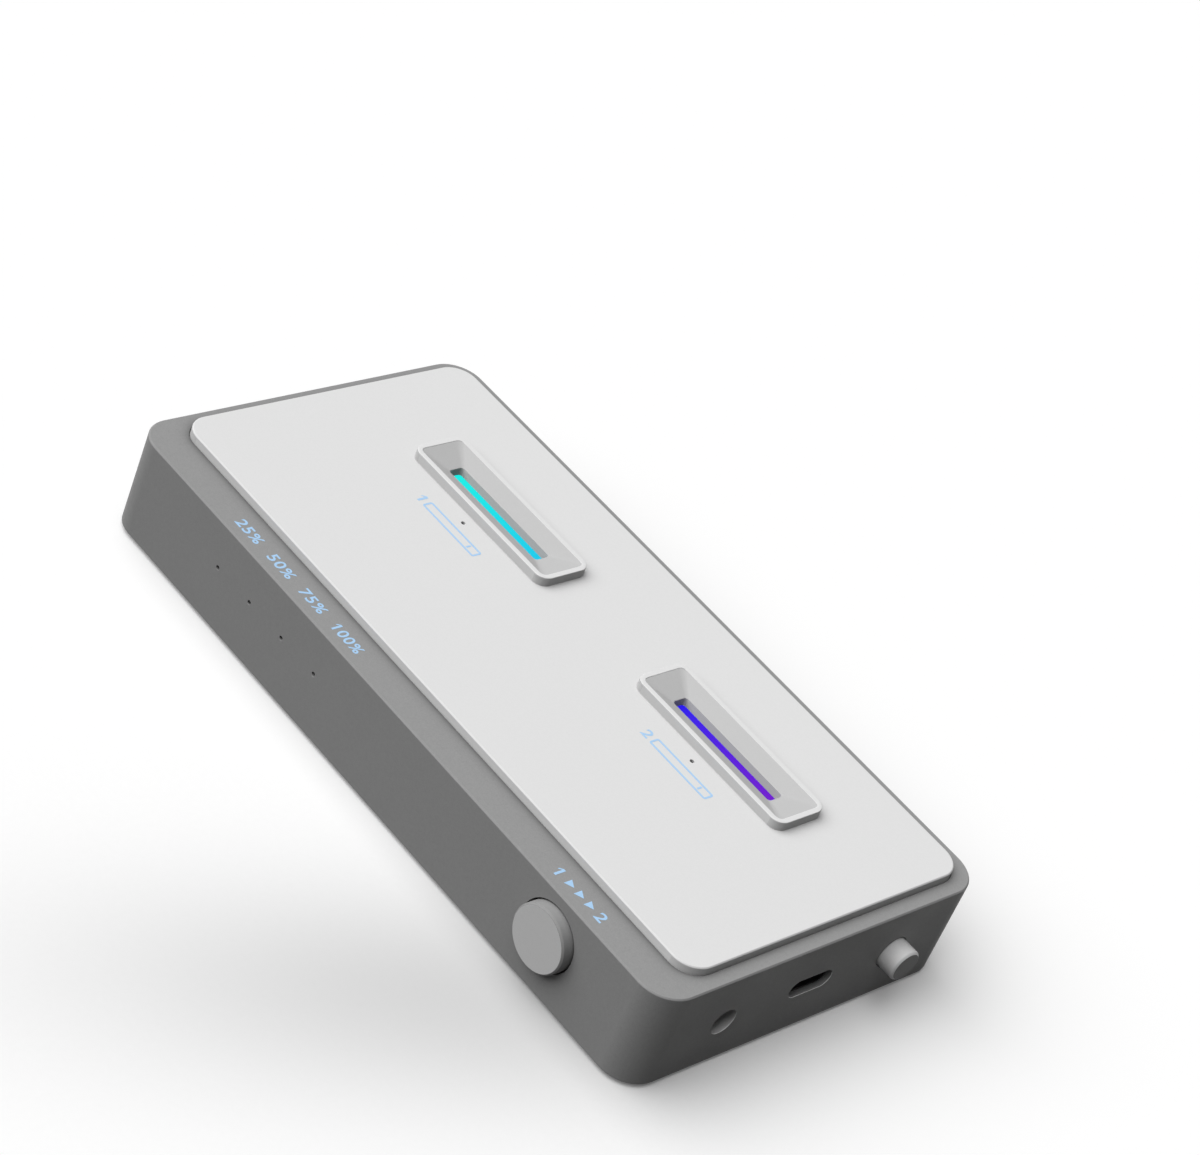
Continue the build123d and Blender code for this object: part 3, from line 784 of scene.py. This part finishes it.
def slot_rings(length, width, top, bottom):
    """The path of a slot frame's section, from the plate up the outside and back underneath."""
    rings = [(length, width, corner_outer, plate_top)]
    rings += rounded_rim(length, width, corner_outer, top, rim_round, True)
    rings += rounded_rim(length - 2 * rim, width - 2 * rim, corner_mouth, top, mouth_round, False)
    foot_length = well_length + funnel_foot
    foot_width = well_width + funnel_foot
    return rings + [(foot_length, foot_width, corner_well, funnel_level + foot_round),
                    (well_length, well_width, corner_well, funnel_level - foot_round),
                    (well_length, well_width, corner_well, well_level),
                    (pocket_length, pocket_width, hidden_corner, well_level),
                    (pocket_length, pocket_width, hidden_corner, bottom),
                    (neck_length, neck_width, hidden_corner, bottom),
                    (neck_length, neck_width, hidden_corner, plate_top)]


def slot_frame(node, name):
    """A slot frame of three tones: its funnel is the darkest, and its front side is painted palest,
    as painted light on the side turned to the lamp.
    """
    low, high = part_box(node)
    centre = (low + high) / 2
    size = high - low
    rings = slot_rings(size.x, size.y, high.z, low.z)
    piece = finish_mesh(ring_body(rings, centre), name, bezel_plastic, "casing")
    inset = rim + mouth_round

    def in_funnel(face):
        across = face.center - centre
        within = abs(across.x) < size.x / 2 - inset and abs(across.y) < size.y / 2 - inset
        return within and face.center.z > funnel_level - foot_round / 2

    def on_front(face):
        return looks_to_the_front(face) and face.center.y < low.y + front_skin

    second_finish(piece, funnel_plastic, in_funnel)
    # Painted light on the frame's front side.
    second_finish(piece, side_painted_light, on_front)
    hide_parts(node)
    print(name, "faces:", len(piece.data.polygons))


slot_frame("source_slot_bezel", "source_slot_frame")
slot_frame("target_slot_bezel", "target_slot_frame")

# %% [markdown]
# ## The light bars
# Under each throat lies the clear bar that carries the light, with a slit for the card's edge.
# It lies a little below the mouth of its seat, so that the throat hides half of it from the
# side. The solid's copy is merged, its upper face is moved down to that level, and its edges
# get a small round, because a cast clear part never has a knife edge.

# %% The light bars
bar_round = 0.04 * mm
bar_skin = 0.1 * mm


def light_bar(node, name, material):
    """A softened copy of a light guide, with its upper face at the level of its seat."""
    low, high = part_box(node)
    bm = merged_copy(node)
    upper = [vert for vert in bm.verts if vert.co.z > high.z - bar_skin]
    bmesh.ops.translate(bm, vec=(0, 0, well_level - high.z), verts=upper)
    round_edges(bm, sharp_edges(bm, lambda point: True), bar_round, 2)
    piece = finish_mesh(bm, name, material, "casing")
    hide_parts(node)
    print(name, "top at", round(well_level / mm, 2), "mm, faces:", len(piece.data.polygons))


light_bar("source_light_guide", "source_light_bar", source_glow)
light_bar("target_light_guide", "target_light_bar", target_glow)

# %% [markdown]
# ## Buttons
# Both buttons are turned shapes. The large one is a flat disc whose rim is a tone darker than
# its face, and the power button is a short pale pin whose end is painted darker: painted shade
# on the side turned away from the lamp. Their outlines are already right in the solids, so they
# get softened copies, and the second tone goes to the faces that look the right way. Behind the
# wall the large button has two ears, which would disturb the shading of its round side. So a
# loop of edges is cut round it first, just inside the hole, and the side in front of the loop is
# made of even faces.

# %% Soften the buttons
wall_skin = 0.5 * mm
loop_depth = 1.0 * mm
disc_round = 0.06 * mm
pin_round = 0.08 * mm
disc_face = 0.95
pin_face = 0.98


def before_the_wall(point):
    return point.y < case_low.y + wall_skin


def past_the_end(point):
    return point.x > case_high.x - wall_skin


clone_button = soften("clone_button_cap", "clone_button_disc", disc_round, 3, button_plastic,
                      "clone_button", before_the_wall,
                      loop=(0, case_low.y + loop_depth, 0))
second_finish(clone_button, button_rim_plastic, lambda face: abs(face.normal.y) < disc_face)
power_button = soften("power_button_cap", "power_button_pin", pin_round, 3, power_plastic,
                      "power_button", past_the_end)
# Painted shade on the end face of the power pin.
second_finish(power_button, power_end_painted_shade, lambda face: face.normal.x > pin_face)

# %% [markdown]
# ## Contact pads in the USB port
# A look into the port shows a black tongue with a row of flat gold pads on its face. They are
# stamped strips, moulded in flush, so a thin block with softened edges, half sunk into the
# tongue, stands for each. A loop sets them at the standard spacing.

# %% Contact pads in the USB port
pad_count = 12
pad_pitch = 0.5 * mm
pad_width = 0.26 * mm
pad_length = 3.4 * mm
pad_rise = 0.02 * mm
pad_round = 0.01 * mm
tongue_half = 0.35 * mm
tongue_nose = 0.5 * mm


def usb_pads():
    """A row of pads on each face of the tongue."""
    low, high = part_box("usb_c_tongue")
    centre = (low + high) / 2
    front = high.x - tongue_nose
    bm = bmesh.new()
    for side in (-1, 1):
        level = centre.z + side * tongue_half
        for step in range(pad_count):
            across = centre.y + (step - (pad_count - 1) / 2) * pad_pitch
            block = bmesh.ops.create_cube(bm, size=1.0)["verts"]
            bmesh.ops.scale(bm, vec=(pad_length, pad_width, 2 * pad_rise), verts=block)
            bmesh.ops.translate(bm, vec=(front - pad_length / 2, across, level), verts=block)
    round_edges(bm, list(bm.edges), pad_round, 1)
    piece = finish_mesh(bm, "usb_contact_pads", contact_gold, "casing")


usb_pads()
print("usb pads:", pad_count * 2)

# %% [markdown]
# ## Printed marks
# The marks are pad printed in light blue ink, a skin a few hundredths of a millimetre thick.
# They could be painted in the material, but separate thin pieces stay crisp at any distance.
# The numbers are text objects made into meshes. The card signs and arrows start as grids and
# triangles. All of them sink a little into the surface, so no gap shows under the ink.

# %% The ink and the thickness of a mark
ink_thickness = 0.03 * mm
ink_sink = 0.01 * mm
letter_height = 2.2 * mm
ink = moulded("printed_ink", paint(166, 204, 240), paint(174, 210, 243), grain=0.2 * mm,
              depth=0.002 * mm, rough=(0.4, 0.5), specular=0.3)


def flat_mark(bm, name, level):
    """Gives a flat drawing in millimetres its thickness and its place on the surface."""
    flat = list(bm.faces)
    made = bmesh.ops.extrude_face_region(bm, geom=flat)["geom"]
    raised = [item for item in made if isinstance(item, bmesh.types.BMVert)]
    bmesh.ops.translate(bm, vec=(0, 0, ink_thickness), verts=raised)
    bmesh.ops.recalc_face_normals(bm, faces=bm.faces)
    bmesh.ops.translate(bm, vec=(0, 0, level - ink_sink), verts=bm.verts)
    finish_mesh(bm, name, ink, "casing")


# %% [markdown]
# The built-in letters have a figure one that is a plain bar, which reads like a capital I. A
# short slanted flag, drawn as one more face at the top of the bar, makes it a figure again.

# %% A number as a flat drawing
flag_width = 0.15
flag_drop = 0.19
flag_thick = 0.11
flag_taper = 0.02
letter_swell = 0.018
letter_space = 1.1
letter_stretch = 1.15
letter_merge = 0.0005


def add_flag(bm):
    """Draws the flag of a figure one, to the left of everything else in the drawing."""
    left = min(vert.co.x for vert in bm.verts)
    top = max(vert.co.y for vert in bm.verts)
    corners = ((left, top), (left - flag_width, top - flag_drop),
               (left - flag_width, top - flag_drop - flag_thick),
               (left, top - flag_thick - flag_taper))
    bm.faces.new([bm.verts.new((x, y, 0)) for x, y in corners])


def middle_of_drawing(bm):
    xs = [vert.co.x for vert in bm.verts]
    ys = [vert.co.y for vert in bm.verts]
    return Vector(((max(xs) + min(xs)) / 2, (max(ys) + min(ys)) / 2, 0))


def number_mesh(words, stretch=letter_stretch):
    """A bmesh of the words, as high as a letter, their middle at the origin, lying flat."""
    curve = bpy.data.curves.new("numbers", "FONT")
    curve.body = words
    curve.offset = letter_swell
    curve.space_character = letter_space
    curve.resolution_u = 4
    text = add_object("numbers", curve)
    bpy.context.view_layer.update()
    mesh = bpy.data.meshes.new_from_object(text)
    bpy.data.objects.remove(text)
    bpy.data.curves.remove(curve)
    bm = bmesh.new()
    bm.from_mesh(mesh)
    bpy.data.meshes.remove(mesh)
    bmesh.ops.remove_doubles(bm, verts=bm.verts, dist=letter_merge)
    if words.startswith("1"):
        add_flag(bm)
    high = max(vert.co.y for vert in bm.verts)
    low = min(vert.co.y for vert in bm.verts)
    size = letter_height / (high - low)
    bmesh.ops.scale(bm, vec=(size * stretch, size, size), verts=bm.verts)
    bmesh.ops.translate(bm, vec=-middle_of_drawing(bm), verts=bm.verts)
    return bm


# %% The percentages on the border, with their places from the middle in millimetres
case_centre = (case_low + case_high) / 2
border_line = case_centre.y - 32.9 * mm
percents = (("25%", -40.8, letter_stretch), ("50%", -31.8, letter_stretch),
            ("75%", -23.0, letter_stretch), ("100%", -13.6, 1.02))
for words, across, stretch in percents:
    drawing = number_mesh(words, stretch)
    place = (case_centre.x + across * mm, border_line, 0)
    bmesh.ops.translate(drawing, vec=place, verts=drawing.verts)
    flat_mark(drawing, "mark_" + words.strip("%"), case_top)
print("percent marks:", len(percents))

# %% [markdown]
# ## Signs for the cards
# Beside each slot stands its number and the outline of a card: a long slim rectangle with the
# small key notch that such a card has in its end. The outline is a rounded face, inset to leave
# a thin frame. Beside the large button, arrows run from the first card to the second.

# %% Signs for the cards and the copy arrow
line_width = 0.38 * mm
sign_length = 14.0 * mm
sign_corner = 0.45 * mm
sign_gap = 1.5 * mm
sign_drop = 11.0 * mm
notch_from_end = 2.4 * mm
notch_share = 0.45
arrow_size = 1.0 * mm
arrow_step = 2.4 * mm
number_step = 5.2 * mm
copy_sign_x = case_centre.x + 46.3 * mm


def add_frame(bm, x, length, width):
    """A thin closed outline: a rounded face whose inside is inset and taken away."""
    corners = round_corners(bm, flat_box(bm, x, 0, length, width), sign_corner, 4)
    face = corners[0].link_faces[0]
    bmesh.ops.inset_individual(bm, faces=[face], thickness=line_width)
    bmesh.ops.delete(bm, geom=[face], context="FACES_ONLY")


def add_arrow(bm, x):
    """A plain triangle that points along X."""
    made = bmesh.ops.create_circle(bm, cap_ends=True, segments=3, radius=arrow_size)["verts"]
    turn = Matrix.Rotation(math.radians(-90), 3, "Z")
    bmesh.ops.rotate(bm, cent=(0, 0, 0), matrix=turn, verts=made)
    bmesh.ops.translate(bm, vec=(x, 0, 0), verts=made)


def card_sign(name, number, node):
    """A number with the outline of a card to its right, before the middle of a slot."""
    bm = number_mesh(number)
    half = (sign_length + sign_gap) / 2
    bmesh.ops.translate(bm, vec=(-half, 0, 0), verts=bm.verts)
    add_frame(bm, sign_gap / 2, sign_length, letter_height)
    flat_box(bm, half - notch_from_end, 0, line_width, letter_height * notch_share)
    slot_middle = middle_of(node)
    place = (slot_middle.x, slot_middle.y - sign_drop, 0)
    bmesh.ops.translate(bm, vec=place, verts=bm.verts)
    flat_mark(bm, name, plate_top)


def copy_sign():
    """The number of the first slot, three arrows, and the number of the second."""
    bm = number_mesh("1")
    bmesh.ops.translate(bm, vec=(-number_step, 0, 0), verts=bm.verts)
    other = number_mesh("2")
    bmesh.ops.translate(other, vec=(number_step, 0, 0), verts=other.verts)
    holder = bpy.data.meshes.new("holder")
    other.to_mesh(holder)
    other.free()
    bm.from_mesh(holder)
    bpy.data.meshes.remove(holder)
    for step in (-1, 0, 1):
        add_arrow(bm, step * arrow_step)
    bmesh.ops.translate(bm, vec=(copy_sign_x, border_line, 0), verts=bm.verts)
    flat_mark(bm, "mark_copy", case_top)


card_sign("mark_card_1", "1", "source_slot_bezel")
card_sign("mark_card_2", "2", "target_slot_bezel")
copy_sign()
print("signs made")

# %% [markdown]
# ## Floor and light
# A white studio sweep is really a large, evenly lit sheet. The camera sees this floor as nearly
# white, with a soft shadow, but light that bounces from it to the object is weaker, as it
# would be from a floor further away. The Light Path node tells the two apart, as it does for
# the pale plastics. One broad lamp stands high on the left, in front of the long side, and
# the dim sky fills in the rest.
#
# On the studio paper lies one more shade, broad and faint, in front of the object: a painted
# shadow, darkened into the paper's colour. It's a soft oval, widest near the middle of the front
# side, that leans to the left as it comes nearer to the camera. Its mask is a bell curve of the
# place in X and Y.

# %% What the camera sees, and the painted shadow on the paper
oval_x = 45 * mm
oval_y = -40 * mm
oval_lean = 0.42
oval_width = 26 * mm
oval_front = 62 * mm
oval_back = 20 * mm
oval_depth = 0.38


def painted_floor_shadow(tree, place):
    """A mask of painted shadow on the paper, from 0 to its depth, strongest in the middle of the
    oval.
    """
    axes = split_axes(tree, place)
    away = sums(tree, "SUBTRACT", axes["Y"], oval_y)
    middle = sums(tree, "ADD", sums(tree, "MULTIPLY", away, oval_lean), oval_x)
    across = sums(tree, "DIVIDE", sums(tree, "SUBTRACT", axes["X"], middle), oval_width)
    along = sums(tree, "MAXIMUM", sums(tree, "DIVIDE", away, -oval_front),
                 sums(tree, "DIVIDE", away, oval_back))
    bell = fading(tree, square_sum(tree, across, along))
    return sums(tree, "MULTIPLY", bell, oval_depth)


def seen_light(tree):
    """1 for light that reaches the camera straight, off a gloss or through glass, and else 0."""
    path = tree.nodes.new("ShaderNodeLightPath").outputs
    seen = sums(tree, "MAXIMUM", path["Is Camera Ray"], path["Is Glossy Ray"])
    return sums(tree, "MAXIMUM", seen, path["Is Transmission Ray"])


# %% The floor
floor_half = 15.0
fibre_scale = 900.0
floor_glow = 0.12


def floor_shader(tree, kind, label, value):
    """A shader node with one of its inputs fed."""
    node = tree.nodes.new(kind)
    feed(tree, node.inputs[label], value)
    return node.outputs[0]


def make_paper():
    """Nearly white paper to the camera, and a dull grey to the light that bounces from it."""
    material = bpy.data.materials.new("floor_paper")
    material.use_nodes = True
    tree = material.node_tree
    tree.nodes.clear()
    place = object_place(tree)
    fibres = noise(tree, place, fibre_scale, detail=3.0)
    white = mix_colours(tree, fibres, grey(240), grey(243))
    # The paper's colour is darkened by the painted shadow.
    paper = mix_colours(tree, painted_floor_shadow(tree, place), white, black)
    bright = tree.nodes.new("ShaderNodeAddShader")
    tree.links.new(floor_shader(tree, "ShaderNodeBsdfDiffuse", "Color", paper), bright.inputs[0])
    tree.links.new(floor_shader(tree, "ShaderNodeEmission", "Strength", floor_glow),
                   bright.inputs[1])
    choose = tree.nodes.new("ShaderNodeMixShader")
    tree.links.new(seen_light(tree), choose.inputs[0])
    tree.links.new(floor_shader(tree, "ShaderNodeBsdfDiffuse", "Color", grey(80)), choose.inputs[1])
    tree.links.new(bright.outputs["Shader"], choose.inputs[2])
    output = tree.nodes.new("ShaderNodeOutputMaterial")
    tree.links.new(choose.outputs["Shader"], output.inputs["Surface"])
    return material


def make_floor():
    bm = bmesh.new()
    bmesh.ops.create_grid(bm, x_segments=1, y_segments=1, size=floor_half)
    mesh = bpy.data.meshes.new("floor")
    bm.to_mesh(mesh)
    bm.free()
    mesh.materials.append(make_paper())
    floor = add_object("floor", mesh)


make_floor()
print("floor:", 2 * floor_half, "m wide")

# %% The sky
sky_fill = 0.06


def make_sky():
    """White to the camera, and dim to the objects."""
    world = bpy.data.worlds.new("studio")
    bpy.context.scene.world = world
    world.use_nodes = True
    tree = world.node_tree
    sky = tree.nodes["Background"]
    strength = spread(tree, seen_light(tree), 0.0, 1.0, sky_fill, 1.0)
    tree.links.new(strength, sky.inputs["Strength"])
    sky.inputs["Color"].default_value = (1.0, 1.0, 1.0, 1.0)


make_sky()
print("sky fill:", sky_fill)

# %% The lamp


def sun(name, toward, strength, softness):
    """A distant lamp that shines from the direction given by toward, with soft shadows."""
    lamp = bpy.data.lights.new(name, "SUN")
    lamp.energy = strength
    lamp.angle = math.radians(softness)
    holder = add_object(name, lamp)
    holder.rotation_euler = Vector(toward).to_track_quat("Z", "Y").to_euler()


sun("key_lamp", toward=(-0.39, -0.44, 1.0), strength=3.42, softness=80)
print("lamps:", len(bpy.data.lights))

# %% [markdown]
# ## Camera
# The camera stands where the photographer's stood, found by matching the straight edges of the
# casing. The lens is long, so that the edges hardly converge, and the camera is rolled, which
# makes the box look as if it leaned.

# %% Camera
camera_place = (0.259983, -0.357941, 0.345308)
camera_turn = (52.85412, -18.87566, 49.54414)
camera_data = bpy.data.cameras.new("camera")
camera_data.sensor_width = 36.0
camera_data.sensor_fit = "HORIZONTAL"
camera_data.lens = 102.05886
camera_data.clip_start = 0.01
camera = add_object("camera", camera_data)
camera.location = camera_place
camera.rotation_euler = Euler([math.radians(angle) for angle in camera_turn], "XYZ")
bpy.context.scene.camera = camera
bpy.context.scene.view_settings.view_transform = "Standard"
